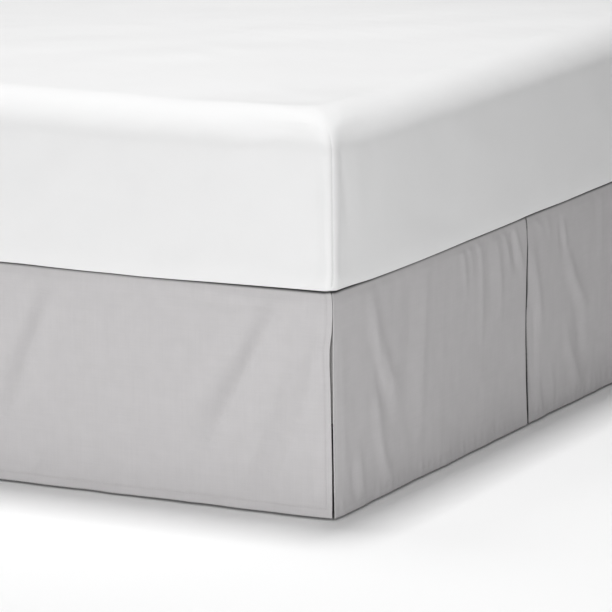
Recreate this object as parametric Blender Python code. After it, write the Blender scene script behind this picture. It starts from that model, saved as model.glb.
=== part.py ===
"""A tailored bed skirt on a bed: a deck cloth on the base, and three drops with box pleats and split corners.

Metres, +Z up. The foot end is at -Y, the head end at +Y, and the floor is z = 0.
Along every drop, s runs from one end of the strip to the other and d is how far the middle of the cloth
stands out from the base's side.
"""

import math

import bpy
import numpy as np

# ---------------------------------------------------------------- driving dimensions
BED_WIDTH = 1.524
BED_LENGTH = 2.032
DROP = 0.381  # from the base's top to the hem
HEM_CLEARANCE = 0.003  # the hem hangs just off the floor
MATTRESS_HEIGHT = 0.305

GAP = 0.0003  # between pieces that touch
CLOTH = 0.0012
BASE_INSET = 0.010  # the base's side, inside the outline of the bed
BASE_HEIGHT = 0.225
BASE_EDGE = 0.008
BASE_CORNER = 0.014

# The drop's section: it turns over the base's edge, leans out, then hangs straight.
TURN_RADIUS = 0.008
TOP_STANDOFF = 0.008
FACE_STANDOFF = 0.009
LEAN_DEPTH = 0.045
FLANGE = 0.017  # how far the top edge reaches in over the base
PLEAT_TOP = 0.014  # the pleat's inner layers stop this far below the turn
HEM_WAVE = 0.0009
HEM_WAVE_REACH = 0.050  # the hem's rise and fall is gone this far above it
END_REACH = 0.060  # how much of a strip is drawn in where it ends at a corner
HEAD_CALM = 0.020  # no folds this close to the free end at the head

# The box pleat: the two folded edges, and the layers behind them.
PLEAT_DEPTH = 0.075
PLEAT_SLIT = 0.0016
FOLD_BULGE = 0.0009
UNDERLAY_STANDOFF = 0.0027
RETURN_STANDOFF = 0.0044
FOLD_STANDOFF_MIN = 0.0062
MOUTH_WIDTH = 0.040  # how far along the strip the mouth's shape reaches
RETURN_STEPS = 3
UNDERLAY_STEPS = 6

# Spacing of the strip's columns and rows.
FINE_PITCH = 0.025
COARSE_PITCH = 0.042
FINE_SIDE_LENGTH = 0.66
FINE_FOOT_LENGTH = 1.15
DROP_ROWS = 8

BASE_UNDER_EDGE = 0.004
BASE_EDGE_STEPS = 3
LEG_RADIUS_TOP = 0.030
LEG_RADIUS_FOOT = 0.022
LEG_INSET = 0.075
LEG_SIDES = 16

MATTRESS_TUCK = 0.004  # how far the lower edge draws in
MATTRESS_LOWER_EDGE = 0.006
MATTRESS_UPPER_EDGE = 0.070
MATTRESS_BULGE = 0.0015
MATTRESS_CROWN = 0.012
MATTRESS_FULLEST = 0.65  # the share of the side's height at which it is fullest
MATTRESS_CORNER_FOOT = 0.018  # corner radius at the lower edge
MATTRESS_CORNER = 0.034  # and where the upper edge starts
MATTRESS_CORNER_GROWTH = 0.8  # how much of the upper edge's draw-in the corner radius gains
LOWER_EDGE_STEPS = 3
UPPER_EDGE_STEPS = 5
CORNER_STEPS = 6
BASE_CORNER_STEPS = 3

HALF_W = BED_WIDTH / 2 - BASE_INSET  # of the base
HALF_L = BED_LENGTH / 2 - BASE_INSET
BASE_TOP = HEM_CLEARANCE + DROP
FLANGE_Z = BASE_TOP + GAP + CLOTH / 2
TURN_Z = FLANGE_Z - TURN_RADIUS
SLIT_EDGE = (PLEAT_SLIT + CLOTH) / 2  # from the slit's middle to the middle of the folded cloth

SHARP_ANGLE = math.radians(40)
TINY = 1e-12

# ---------------------------------------------------------------- materials
MATERIAL_COLUMNS = ("name", "colour", "roughness", "sheen")
MATERIALS = (
    ("skirt_cloth", (0.56, 0.545, 0.55), 0.85, 0.3),
    ("mattress_cover", (0.86, 0.86, 0.86), 0.80, 0.2),
    ("base_cover", (0.62, 0.61, 0.60), 0.90, 0.0),
    ("leg_finish", (0.05, 0.05, 0.05), 0.45, 0.0),
)

# ---------------------------------------------------------------- folds
# One row for each soft fold: where its crest starts, bends and ends, as (s, z), how high it stands out
# (a trough is negative) and its half-width. s is measured from the foot corner, or the left one at the foot.
FOLD_COLUMNS = ("name", "start", "bend", "end", "height", "half_width")
FOLD_SAMPLES = 14  # places tried along a crest
FOLD_END_LOSS = 0.5  # the share of its height that a fold loses by its ends

FOOT_FOLDS = (
    ("corner ridge", (0.137, 0.350), (0.146, 0.290), (0.223, 0.172), 0.0042, 0.034),
    ("lower ridge", (0.160, 0.165), (0.168, 0.085), (0.206, 0.030), 0.0038, 0.030),
    ("trough between", (0.192, 0.170), (0.208, 0.130), (0.226, 0.090), -0.0036, 0.034),
    ("hem ridge", (0.093, 0.095), (0.097, 0.065), (0.103, 0.025), 0.0026, 0.026),
    ("faint ridge", (0.340, 0.360), (0.328, 0.230), (0.316, 0.070), 0.0020, 0.034),
    ("gather 1", (0.498, 0.366), (0.500, 0.330), (0.502, 0.270), 0.0026, 0.026),
    ("gather 2", (0.571, 0.366), (0.571, 0.290), (0.572, 0.175), 0.0028, 0.028),
    ("gather 3", (0.645, 0.366), (0.644, 0.300), (0.643, 0.185), 0.0030, 0.028),
    ("trough by pleat", (0.697, 0.366), (0.698, 0.330), (0.702, 0.255), -0.0030, 0.026),
    ("pleat ridge", (0.778, 0.330), (0.810, 0.225), (0.824, 0.140), 0.0032, 0.036),
    ("far ridge", (0.920, 0.340), (0.958, 0.245), (1.004, 0.175), 0.0042, 0.036),
    ("far trough", (0.972, 0.150), (0.990, 0.118), (1.008, 0.085), -0.0034, 0.034),
    ("far lower ridge", (0.940, 0.158), (0.948, 0.110), (0.964, 0.045), 0.0034, 0.030),
    ("far hem trough", (0.828, 0.062), (0.842, 0.040), (0.862, 0.012), -0.0026, 0.028),
    ("right ridge", (1.235, 0.345), (1.215, 0.240), (1.160, 0.110), 0.0036, 0.040),
    ("right trough", (1.285, 0.300), (1.262, 0.210), (1.222, 0.090), -0.0030, 0.038),
    ("right corner ridge", (1.436, 0.345), (1.420, 0.230), (1.372, 0.060), 0.0038, 0.040),
)

LEFT_FOLDS = (
    ("corner ridge", (0.016, 0.335), (0.046, 0.190), (0.108, 0.060), 0.0030, 0.034),
    ("main ridge", (0.094, 0.348), (0.142, 0.250), (0.216, 0.112), 0.0050, 0.032),
    ("main trough", (0.138, 0.312), (0.186, 0.230), (0.246, 0.155), -0.0034, 0.036),
    ("lower trough", (0.088, 0.262), (0.132, 0.135), (0.176, 0.035), -0.0032, 0.034),
    ("slack under top", (0.128, 0.352), (0.200, 0.345), (0.282, 0.360), -0.0022, 0.022),
    ("second ridge", (0.522, 0.345), (0.556, 0.250), (0.606, 0.125), 0.0040, 0.034),
    ("second trough", (0.560, 0.325), (0.586, 0.265), (0.618, 0.190), -0.0032, 0.032),
    ("hem dimple", (0.556, 0.062), (0.568, 0.045), (0.580, 0.022), -0.0022, 0.030),
    ("gather 1", (0.842, 0.366), (0.846, 0.320), (0.850, 0.230), 0.0026, 0.040),
    ("gather 2", (0.930, 0.366), (0.930, 0.300), (0.926, 0.190), 0.0030, 0.040),
    ("pleat ridge", (1.030, 0.335), (1.062, 0.240), (1.080, 0.130), 0.0032, 0.044),
    ("long ridge", (1.240, 0.350), (1.286, 0.230), (1.352, 0.090), 0.0042, 0.050),
    ("long trough", (1.310, 0.330), (1.352, 0.230), (1.420, 0.120), -0.0032, 0.050),
    ("head ridge", (1.620, 0.345), (1.650, 0.220), (1.706, 0.070), 0.0036, 0.052),
    ("head trough", (1.860, 0.340), (1.842, 0.220), (1.800, 0.090), -0.0030, 0.050),
)

RIGHT_FOLDS = (
    ("corner ridge", (0.052, 0.340), (0.084, 0.220), (0.140, 0.070), 0.0034, 0.036),
    ("main ridge", (0.178, 0.350), (0.214, 0.240), (0.286, 0.100), 0.0044, 0.036),
    ("main trough", (0.232, 0.320), (0.270, 0.230), (0.326, 0.140), -0.0032, 0.038),
    ("slack under top", (0.300, 0.356), (0.372, 0.342), (0.440, 0.354), -0.0022, 0.024),
    ("second ridge", (0.476, 0.345), (0.500, 0.260), (0.548, 0.130), 0.0036, 0.036),
    ("second trough", (0.604, 0.220), (0.628, 0.140), (0.664, 0.060), -0.0028, 0.040),
    ("gather 1", (0.800, 0.366), (0.802, 0.310), (0.808, 0.210), 0.0028, 0.040),
    ("gather 2", (0.886, 0.366), (0.888, 0.290), (0.884, 0.170), 0.0030, 0.040),
    ("gather 3", (0.960, 0.366), (0.958, 0.320), (0.956, 0.250), 0.0024, 0.036),
    ("pleat ridge", (1.032, 0.330), (1.066, 0.230), (1.086, 0.150), 0.0030, 0.044),
    ("long ridge", (1.330, 0.350), (1.360, 0.240), (1.420, 0.100), 0.0040, 0.050),
    ("long trough", (1.200, 0.320), (1.232, 0.220), (1.290, 0.110), -0.0030, 0.050),
    ("head ridge", (1.742, 0.345), (1.724, 0.220), (1.680, 0.080), 0.0038, 0.052),
    ("head trough", (1.882, 0.300), (1.872, 0.200), (1.848, 0.090), -0.0028, 0.046),
)

# The split corner, by height: how far the side drop stops short of the foot drop, how far the foot drop
# stops short of the side drop's face, and how far each turns in at its edge.
CORNER_COLUMNS = ("z", "side_short", "foot_short", "side_turn_in", "foot_turn_in")
CORNER = (
    (0.000, 0.0030, 0.0055, 0.0046, 0.0012),
    (0.035, 0.0024, 0.0050, 0.0046, 0.0014),
    (0.085, 0.0024, 0.0024, 0.0038, 0.0014),
    (0.160, 0.0026, 0.0010, 0.0018, 0.0014),
    (0.240, 0.0034, 0.0005, 0.0010, 0.0014),
    (0.280, 0.0034, 0.0002, 0.0006, 0.0012),
    (0.310, 0.0012, 0.0000, 0.0002, 0.0006),
    (0.345, 0.0008, 0.0000, 0.0000, 0.0000),
    (0.390, 0.0007, 0.0000, 0.0000, 0.0000),
)
SIDE_TURN_WIDTH = 0.040
FOOT_TURN_WIDTH = 0.012

# The pleat's mouth, by height: how far the near folded edge stands out and the far one sinks in.
MOUTH_COLUMNS = ("z", "near_out", "far_in")
MOUTH = (
    (0.000, 0.0004, 0.0010),
    (0.040, 0.0006, 0.0014),
    (0.100, 0.0010, 0.0024),
    (0.200, 0.0012, 0.0028),
    (0.300, 0.0008, 0.0020),
    (0.350, 0.0000, 0.0000),
    (0.390, 0.0000, 0.0000),
)

# The hem's rise and fall, as two waves along the strip.
HEM_WAVE_COLUMNS = ("share", "radians_per_metre", "phase")
HEM_WAVES = (
    (0.6, 9.7, 0.0),
    (0.4, 23.0, 1.1),
)

# The mattress's side, as shares of its height, and its crowned top, as how far in each ring lies and how
# much of the crown it has.
SIDE_SHARES = (0.3, 0.65, 1.0)
TOP_COLUMNS = ("inset", "rise", "corner")
TOP_RINGS = (
    (0.17, 0.55, 0.12),
    (0.32, 0.88, 0.12),
    (0.45, 1.00, 0.12),
)


def column(table, names, name):
    """One named column of a table, as an array."""
    return np.array([row[names.index(name)] for row in table], float)


def rows_of(table, names):
    """The rows of a table, each as a dictionary by column name."""
    return [dict(zip(names, row)) for row in table]


def by_height(table, names, name, z):
    """A value that a table gives by height, read off at z."""
    return np.interp(z, column(table, names, "z"), column(table, names, name))


def ease(x):
    """0 below 0, 1 above 1, and a smooth step between."""
    x = np.clip(x, 0.0, 1.0)
    return x * x * (3 - 2 * x)


def fold_relief(folds, s, z):
    """How far the folds push the cloth out at (s, z): a rounded ridge or trough along each crest."""
    relief = np.zeros(np.broadcast(s, z).shape)
    for row in rows_of(folds, FOLD_COLUMNS):
        nearest = np.full(relief.shape, np.inf)
        along = np.zeros(relief.shape)
        for t in np.linspace(0.0, 1.0, FOLD_SAMPLES):
            weights = ((1 - t) ** 2, 2 * t * (1 - t), t**2)
            places = (row["start"], row["bend"], row["end"])
            crest_s = sum(w * p[0] for w, p in zip(weights, places))
            crest_z = sum(w * p[1] for w, p in zip(weights, places))
            distance = np.hypot(s - crest_s, z - crest_z)
            along = np.where(distance < nearest, t, along)
            nearest = np.minimum(nearest, distance)
        across = np.cos(np.minimum(nearest / row["half_width"], 1.0) * math.pi / 2) ** 2
        relief += row["height"] * across * (1 - FOLD_END_LOSS * (2 * along - 1) ** 4)
    return relief


# ---------------------------------------------------------------- the drop's section
def lean(z):
    """The stand-off of a drop without folds: it leans out just below the turn, then hangs straight."""
    x = np.clip((TURN_Z - z) / LEAN_DEPTH, 0.0, 1.0)
    return TOP_STANDOFF + (FACE_STANDOFF - TOP_STANDOFF) * (1 - (1 - x) ** 2)


def hanging_rows():
    """Heights of the rows from the hem to the top of the pleat, then the turn's lower end."""
    pleat_z = TURN_Z - PLEAT_TOP
    rows = list(np.linspace(HEM_CLEARANCE, pleat_z, DROP_ROWS + 1))
    return rows + [TURN_Z]


def turned_rows():
    """The rows past the turn, as (stand-off, height): its middle, its end, and the flange's edge."""
    middle = math.pi / 4
    centre_d = TOP_STANDOFF - TURN_RADIUS
    return [
        (centre_d + TURN_RADIUS * math.cos(middle), TURN_Z + TURN_RADIUS * math.sin(middle)),
        (centre_d, FLANGE_Z),
        (-FLANGE, FLANGE_Z),
    ]


def spaced(start, stop, fine_until):
    """Places from start to stop, closer together before fine_until."""
    places = [start]
    for limit, pitch in ((min(max(start, fine_until), stop), FINE_PITCH), (stop, COARSE_PITCH)):
        stretch = limit - places[-1]
        if stretch > 0:
            steps = max(1, round(stretch / pitch))
            places += list(np.linspace(places[-1], limit, steps + 1)[1:])
    return places


def pleat_columns(pleat_s, near_d, far_d):
    """The back-and-forth section behind the slit, as (s, d): fold, return, underlay, return and fold."""

    def fold(sign, outer_d):
        quarter = (outer_d - RETURN_STANDOFF) / 4
        return [
            (pleat_s + sign * SLIT_EDGE, outer_d - quarter),
            (pleat_s + sign * SLIT_EDGE, RETURN_STANDOFF + quarter),
        ]

    def back(sign):
        first = SLIT_EDGE + FOLD_BULGE
        steps = np.linspace(first, PLEAT_DEPTH, RETURN_STEPS + 1)
        return [(pleat_s + sign * x, RETURN_STANDOFF) for x in steps]

    def deep_fold(sign):
        middle = (RETURN_STANDOFF + UNDERLAY_STANDOFF) / 2
        return [(pleat_s + sign * (PLEAT_DEPTH + FOLD_BULGE), middle)]

    across = np.linspace(-PLEAT_DEPTH, PLEAT_DEPTH, UNDERLAY_STEPS + 1)
    underlay = [(pleat_s + x, UNDERLAY_STANDOFF) for x in across]
    near = fold(-1, near_d) + back(-1) + deep_fold(-1)
    far = deep_fold(1) + back(1)[::-1] + fold(1, far_d)[::-1]
    return near + underlay + far


# ---------------------------------------------------------------- sheets
def sheet_normals(points, blocks):
    """Unit normals of a grid of points, each row measured only along the block of columns that it crosses."""
    normals = np.zeros_like(points)
    for first, last, rows in blocks:
        block = points[first : last + 1, :rows]
        along = np.gradient(block, axis=0)
        up = np.gradient(block, axis=1)
        cross = np.cross(along, up)
        cross /= np.maximum(np.linalg.norm(cross, axis=-1, keepdims=True), TINY)
        normals[first : last + 1, :rows] += cross
    length = np.linalg.norm(normals, axis=-1, keepdims=True)
    return normals / np.maximum(length, TINY)


def solid_sheet(name, points, blocks, material):
    """A closed solid of even thickness about a grid of points.

    points is (columns, rows, 3). Each block is (first column, last column, rows) that the cloth fills.
    """
    normals = sheet_normals(points, blocks)
    outer = points + normals * CLOTH / 2
    inner = points - normals * CLOTH / 2
    columns, rows = points.shape[:2]
    filled = np.zeros((columns - 1, rows - 1), bool)
    for first, last, block_rows in blocks:
        filled[first:last, : block_rows - 1] = True

    def index(i, j, side):
        return (i * rows + j) * 2 + side

    faces = []
    edges = set()
    for i, j in np.argwhere(filled):
        ring = [(i, j), (i + 1, j), (i + 1, j + 1), (i, j + 1)]
        faces.append([index(a, b, 0) for a, b in ring])
        faces.append([index(a, b, 1) for a, b in reversed(ring)])
        for start, stop in zip(ring, ring[1:] + ring[:1]):
            edges.add((start, stop))
    for start, stop in sorted(edges):
        if (stop, start) not in edges:
            faces.append([index(*stop, 0), index(*start, 0), index(*start, 1), index(*stop, 1)])
    vertices = np.stack([outer, inner], axis=2).reshape(-1, 3)
    used = sorted({v for face in faces for v in face})
    number = {v: k for k, v in enumerate(used)}
    mesh = bpy.data.meshes.new(name)
    mesh.from_pydata([tuple(vertices[v]) for v in used], [], [[number[v] for v in face] for face in faces])
    return finish(name, mesh, material)


def finish(name, mesh, material):
    """An object of that mesh with its material, shaded smooth but for its sharp edges."""
    mesh.validate()
    mesh.shade_smooth()
    mesh.set_sharp_from_angle(angle=SHARP_ANGLE)
    mesh.materials.append(material)
    thing = bpy.data.objects.new(name, mesh)
    bpy.context.scene.collection.objects.link(thing)
    return thing


def drop_panel(name, length, fine_until, folds, ends, place, material):
    """One drop: a strip with its box pleat, its folds and its turned top edge.

    ends says what each end meets: a "side" drop, the "foot" drop, or nothing ("free", at the head).
    place turns (s, stand-off, height) into a point.
    """
    pleat_s = length / 2
    edge = SLIT_EDGE + FOLD_BULGE
    left = spaced(0.0, pleat_s - edge, fine_until)
    right = spaced(pleat_s + edge, length, fine_until)
    heights = hanging_rows()
    rows = []
    for z in heights:
        row = []
        for places, side in ((left, "near"), (right, "far")):
            s = np.array(places)
            d = lean(z) + outer_relief(s, z, length, pleat_s, side, folds, ends)
            row.append((squeeze(s, length, z, lean(z), ends), d))
        near_d, far_d = row[0][1][-1], row[1][1][0]
        middle = pleat_columns(pleat_s, near_d, far_d)
        section = list(zip(*row[0])) + middle + list(zip(*row[1]))
        rows.append([(s, d, z + hem_wave(s, z)) for s, d in section])
    for d, z in turned_rows():
        section = []
        for places in (left, right):
            s = squeeze(np.array(places), length, z, d, ends)
            section.append([(x, d, z) for x in s])
        blank = [section[0][-1]] * (len(rows[0]) - len(left) - len(right))
        rows.append(section[0] + blank + section[1])
    points = np.array([[place(*point) for point in row] for row in rows]).transpose(1, 0, 2)
    columns = points.shape[0]
    pleat_rows = len(heights) - 1
    blocks = [
        (0, columns - 1, pleat_rows),
        (0, len(left) - 1, len(rows)),
        (columns - len(right), columns - 1, len(rows)),
    ]
    return solid_sheet(name, points, blocks, material)


def hem_wave(s, z):
    """A slight rise and fall of the hem, gone a hand's breadth above it."""
    waves = rows_of(HEM_WAVES, HEM_WAVE_COLUMNS)
    wave = sum(row["share"] * np.sin(s * row["radians_per_metre"] + row["phase"]) for row in waves)
    return HEM_WAVE * wave * (1 - ease((z - HEM_CLEARANCE) / HEM_WAVE_REACH))


def outer_relief(s, z, length, pleat_s, side, folds, ends):
    """What folds, the pleat's mouth and the turned-in edges add to the stand-off of the outer layer."""
    calm_top = ease((TURN_Z - z) / PLEAT_TOP)
    relief = fold_relief(folds, s, z)
    reaches = list(zip(ends, (s, length - s)))
    for end, distance in reaches:
        relief = relief * ease(distance / (HEAD_CALM if end == "free" else SIDE_TURN_WIDTH))
    for end, distance in reaches:
        if end == "side":
            depth = by_height(CORNER, CORNER_COLUMNS, "foot_turn_in", z)
            relief = relief - depth * (1 - ease(distance / FOOT_TURN_WIDTH))
        elif end == "foot":
            depth = by_height(CORNER, CORNER_COLUMNS, "side_turn_in", z)
            relief = relief - depth * (1 - ease(distance / SIDE_TURN_WIDTH))
    nearness = 1 - ease(np.abs(s - pleat_s) / MOUTH_WIDTH)
    if side == "near":
        relief = relief + nearness * by_height(MOUTH, MOUTH_COLUMNS, "near_out", z)
    else:
        relief = relief - nearness * by_height(MOUTH, MOUTH_COLUMNS, "far_in", z)
    least = FOLD_STANDOFF_MIN - lean(z)
    over_pleat = np.abs(s - pleat_s) < PLEAT_DEPTH + 2 * COARSE_PITCH
    relief = np.where(over_pleat, np.maximum(relief, least), relief)
    return relief * calm_top


def squeeze(s, length, z, d, ends):
    """Moves the columns near an end so that the strip stops where the next drop's face is at that height."""
    inward = FACE_STANDOFF - d
    limits = []
    for end in ends:
        if end == "side":
            short = by_height(CORNER, CORNER_COLUMNS, "foot_short", z)
            turned = by_height(CORNER, CORNER_COLUMNS, "side_turn_in", z)
            face = BASE_INSET - FACE_STANDOFF - CLOTH / 2
            limits.append(face + inward + max(short, turned))
        elif end == "foot":
            short = by_height(CORNER, CORNER_COLUMNS, "side_short", z)
            turned = by_height(CORNER, CORNER_COLUMNS, "foot_turn_in", z)
            face = BASE_INSET - FACE_STANDOFF + CLOTH / 2
            limits.append(face + inward + short + turned)
        else:
            limits.append(BASE_INSET)
    s = s + limits[0] * (1 - ease(s / END_REACH))
    return s - limits[1] * (1 - ease((length - s) / END_REACH))


# ---------------------------------------------------------------- the bed under and over the skirt
def rounded_ring(half_x, half_y, radius, z, steps):
    """A rectangle with round corners, as points round it at height z."""
    ring = []
    for quarter in range(4):
        centre_x = (half_x - radius) * (1 if quarter in (0, 3) else -1)
        centre_y = (half_y - radius) * (1 if quarter in (0, 1) else -1)
        for step in range(steps + 1):
            angle = (quarter + step / steps) * math.pi / 2
            ring.append((centre_x + radius * math.cos(angle), centre_y + radius * math.sin(angle), z))
    return ring


def stacked_rings(name, rings, material):
    """A closed solid through rings of as many points each, from the bottom up, with flat ends."""
    count = len(rings[0])
    vertices = [point for ring in rings for point in ring]
    faces = [list(range(count))[::-1]]
    for level in range(len(rings) - 1):
        for k in range(count):
            a = level * count + k
            b = level * count + (k + 1) % count
            faces.append([a, b, b + count, a + count])
    faces.append([(len(rings) - 1) * count + k for k in range(count)])
    mesh = bpy.data.meshes.new(name)
    mesh.from_pydata(vertices, [], faces)
    return finish(name, mesh, material)


def mattress(bottom, material):
    """A rounded mattress: drawn in below, full at the sides, with a soft upper edge and a crown."""
    side_top = MATTRESS_HEIGHT - MATTRESS_CROWN - MATTRESS_UPPER_EDGE
    rings = []
    for step in range(LOWER_EDGE_STEPS + 1):
        angle = step / LOWER_EDGE_STEPS * math.pi / 2
        inset = MATTRESS_TUCK * (1 - math.sin(angle))
        height = MATTRESS_LOWER_EDGE * (1 - math.cos(angle))
        rings.append((inset + MATTRESS_BULGE, height, MATTRESS_CORNER_FOOT))
    for share in SIDE_SHARES:
        height = MATTRESS_LOWER_EDGE + (side_top - MATTRESS_LOWER_EDGE) * share
        rise = min(share / MATTRESS_FULLEST, 1.0)
        inset = MATTRESS_BULGE * (1 - math.sin(math.pi / 2 * rise))
        corner = MATTRESS_CORNER_FOOT + (MATTRESS_CORNER - MATTRESS_CORNER_FOOT) * share
        rings.append((inset, height, corner))
    for step in range(1, UPPER_EDGE_STEPS + 1):
        angle = step / UPPER_EDGE_STEPS * math.pi / 2
        inset = MATTRESS_UPPER_EDGE * (1 - math.cos(angle))
        height = side_top + MATTRESS_UPPER_EDGE * math.sin(angle)
        rings.append((inset, height, MATTRESS_CORNER + inset * MATTRESS_CORNER_GROWTH))
    for row in rows_of(TOP_RINGS, TOP_COLUMNS):
        height = side_top + MATTRESS_UPPER_EDGE + MATTRESS_CROWN * row["rise"]
        rings.append((row["inset"], height, row["corner"]))
    outline = [
        rounded_ring(BED_WIDTH / 2 - inset, BED_LENGTH / 2 - inset, radius, bottom + height, CORNER_STEPS)
        for inset, height, radius in rings
    ]
    return stacked_rings("mattress", outline, material)


def foundation(material):
    """The base box, with soft edges where the cloth turns over it."""
    bottom = BASE_TOP - BASE_HEIGHT
    rings = [(BASE_UNDER_EDGE, bottom), (0.0, bottom + BASE_UNDER_EDGE)]
    for step in range(BASE_EDGE_STEPS + 1):
        angle = step / BASE_EDGE_STEPS * math.pi / 2
        inset = BASE_EDGE * (1 - math.cos(angle))
        rings.append((inset, BASE_TOP - BASE_EDGE * (1 - math.sin(angle))))
    outline = [
        rounded_ring(HALF_W - inset, HALF_L - inset, BASE_CORNER - inset, z, BASE_CORNER_STEPS)
        for inset, z in rings
    ]
    return stacked_rings("foundation", outline, material)


def leg(name, x, y, material):
    """A round leg that narrows to the floor and meets the base's underside."""
    top = BASE_TOP - BASE_HEIGHT - GAP
    rings = []
    for radius, z in ((LEG_RADIUS_FOOT, 0.0), (LEG_RADIUS_TOP, top)):
        turns = [2 * math.pi * k / LEG_SIDES for k in range(LEG_SIDES)]
        rings.append([(x + radius * math.cos(a), y + radius * math.sin(a), z) for a in turns])
    return stacked_rings(name, rings, material)


def deck(material):
    """The platform cloth, flat on the base, inside the drops' turned edges."""
    half_x = HALF_W - FLANGE - GAP
    low_y = -HALF_L + FLANGE + GAP
    high_y = HALF_L - BASE_EDGE
    bottom = BASE_TOP + GAP
    corners = [(-half_x, low_y), (half_x, low_y), (half_x, high_y), (-half_x, high_y)]
    rings = [[(x, y, z) for x, y in corners] for z in (bottom, bottom + CLOTH)]
    return stacked_rings("deck", rings, material)


def principled(name, colour, roughness, sheen):
    """A Principled material of one colour."""
    made = bpy.data.materials.new(name)
    made.use_nodes = True
    shader = made.node_tree.nodes["Principled BSDF"]
    shader.inputs["Base Color"].default_value = (*colour, 1.0)
    shader.inputs["Roughness"].default_value = roughness
    shader.inputs["Metallic"].default_value = 0.0
    shader.inputs["Sheen Weight"].default_value = sheen
    return made


def centre_on_floor(things):
    """Moves everything so that the whole stands centred on the origin, on z = 0."""
    points = np.array([v.co for thing in things for v in thing.data.vertices])
    middle = (points.min(axis=0) + points.max(axis=0)) / 2
    shift = (-middle[0], -middle[1], -points[:, 2].min())
    for thing in things:
        thing.location = shift


def build():
    for thing in list(bpy.data.objects):
        bpy.data.objects.remove(thing, do_unlink=True)
    materials = {row["name"]: principled(**row) for row in rows_of(MATERIALS, MATERIAL_COLUMNS)}
    skirt_cloth = materials["skirt_cloth"]

    def at_foot(s, d, z):
        return (-BED_WIDTH / 2 + s, -HALF_L - d, z)

    def at_left(s, d, z):
        return (-HALF_W - d, -BED_LENGTH / 2 + s, z)

    def at_right(s, d, z):
        return (HALF_W + d, -BED_LENGTH / 2 + s, z)

    things = [
        deck(skirt_cloth),
        foundation(materials["base_cover"]),
        mattress(FLANGE_Z + CLOTH / 2 + GAP, materials["mattress_cover"]),
    ]
    drops = (
        ("foot_panel", BED_WIDTH, FINE_FOOT_LENGTH, FOOT_FOLDS, ("side", "side"), at_foot),
        ("side_panel_left", BED_LENGTH, FINE_SIDE_LENGTH, LEFT_FOLDS, ("foot", "free"), at_left),
        ("side_panel_right", BED_LENGTH, FINE_SIDE_LENGTH, RIGHT_FOLDS, ("foot", "free"), at_right),
    )
    for drop in drops:
        things.append(drop_panel(*drop, skirt_cloth))
    for side, x in (("left", -HALF_W + LEG_INSET), ("right", HALF_W - LEG_INSET)):
        for where, y in (("foot", -HALF_L + LEG_INSET), ("middle", 0.0), ("head", HALF_L - LEG_INSET)):
            things.append(leg(f"leg_{where}_{side}", x, y, materials["leg_finish"]))
    centre_on_floor(things)


build()
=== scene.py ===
"""A bed skirt on a bed, dressed for the camera: drops, deck cloth, covered mattress and base.

Metres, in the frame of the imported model. The foot end is at -Y and the long side that the camera faces is
at -X. Along every drop, s runs from one end of the strip to the other, z is the height above the floor, and
d is how far the middle of the cloth stands out from the base's side.
"""

import math

import bpy
import numpy as np
from mathutils import Matrix, Vector


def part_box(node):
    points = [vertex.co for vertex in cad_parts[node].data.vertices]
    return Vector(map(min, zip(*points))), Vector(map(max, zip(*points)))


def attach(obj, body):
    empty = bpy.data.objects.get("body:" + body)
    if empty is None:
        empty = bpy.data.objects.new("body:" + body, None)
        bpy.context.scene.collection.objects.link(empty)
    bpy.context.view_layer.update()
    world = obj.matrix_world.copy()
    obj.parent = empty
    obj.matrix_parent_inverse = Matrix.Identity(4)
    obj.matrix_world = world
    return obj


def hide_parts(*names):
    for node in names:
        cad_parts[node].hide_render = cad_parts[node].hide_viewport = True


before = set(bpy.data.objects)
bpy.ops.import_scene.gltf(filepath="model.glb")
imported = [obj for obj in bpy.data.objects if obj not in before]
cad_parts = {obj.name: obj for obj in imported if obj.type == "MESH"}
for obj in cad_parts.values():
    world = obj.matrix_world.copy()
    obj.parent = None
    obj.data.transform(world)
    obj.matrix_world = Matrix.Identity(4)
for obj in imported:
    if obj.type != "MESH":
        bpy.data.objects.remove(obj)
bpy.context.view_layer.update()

# ---- the bed's sizes
BED_WIDTH = 1.524
BED_LENGTH = 2.032
BASE_INSET = 0.010  # how far inside the bed's outline the base's sides stand
base_low, base_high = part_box("foundation")
CENTRE_X = (base_low[0] + base_high[0]) / 2
CENTRE_Y = (base_low[1] + base_high[1]) / 2
HALF_W = (base_high[0] - base_low[0]) / 2
HALF_L = (base_high[1] - base_low[1]) / 2
BASE_TOP = base_high[2]
HEM_Z = 0.003
GAP = 0.0003

# ---- the cloth
CLOTH = 0.0011
TURN_RADIUS = 0.008
FLANGE_Z = BASE_TOP + GAP + CLOTH / 2
TURN_Z = FLANGE_Z - TURN_RADIUS
FLANGE = 0.0145  # how far the top edge lies over the base
TOP_STANDOFF = 0.0065
FACE_STANDOFF = 0.009
LEAN_DEPTH = 0.018  # the drop leans out to its face this far below the turn
CALM_TOP = 0.014  # and its folds reach their full height this far below it
END_REACH = 0.060  # near an end the strip gives way to the next drop
HEAD_CALM = 0.020

# The cloth's unevenness: how high it is, and its shortest and longest waves.
DRIFT = (0.0007, 0.16, 0.42)
RUMPLE = (0.00016, 0.035, 0.080)
RUMPLE_RISE = 0.6  # how fast it changes upwards, against along the cloth
FLARE = (0.0011, 0.060, 0.160)
FLARE_REACH = 0.070  # how far above the hem
PUCKER = (0.00045, 0.009, 0.026)
PUCKER_REACH = 0.016  # how far from the stitches
PUCKER_RISE = 0.25

# The box pleat behind each slit.
PLEAT_TOP = 0.014  # how far below the turn its upper end is
PLEAT_DEPTH = 0.075
FOLD_BULGE = 0.0010
UNDERLAY_STANDOFF = 0.0027
RETURN_STANDOFF = 0.0044
FOLD_STANDOFF_MIN = 0.0062
FOLD_ARC_STEPS = 6
LAYER_PITCH = 0.007
OVER_PLEAT = 0.16  # this far from the slit the cloth keeps clear of the folded layers

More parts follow.
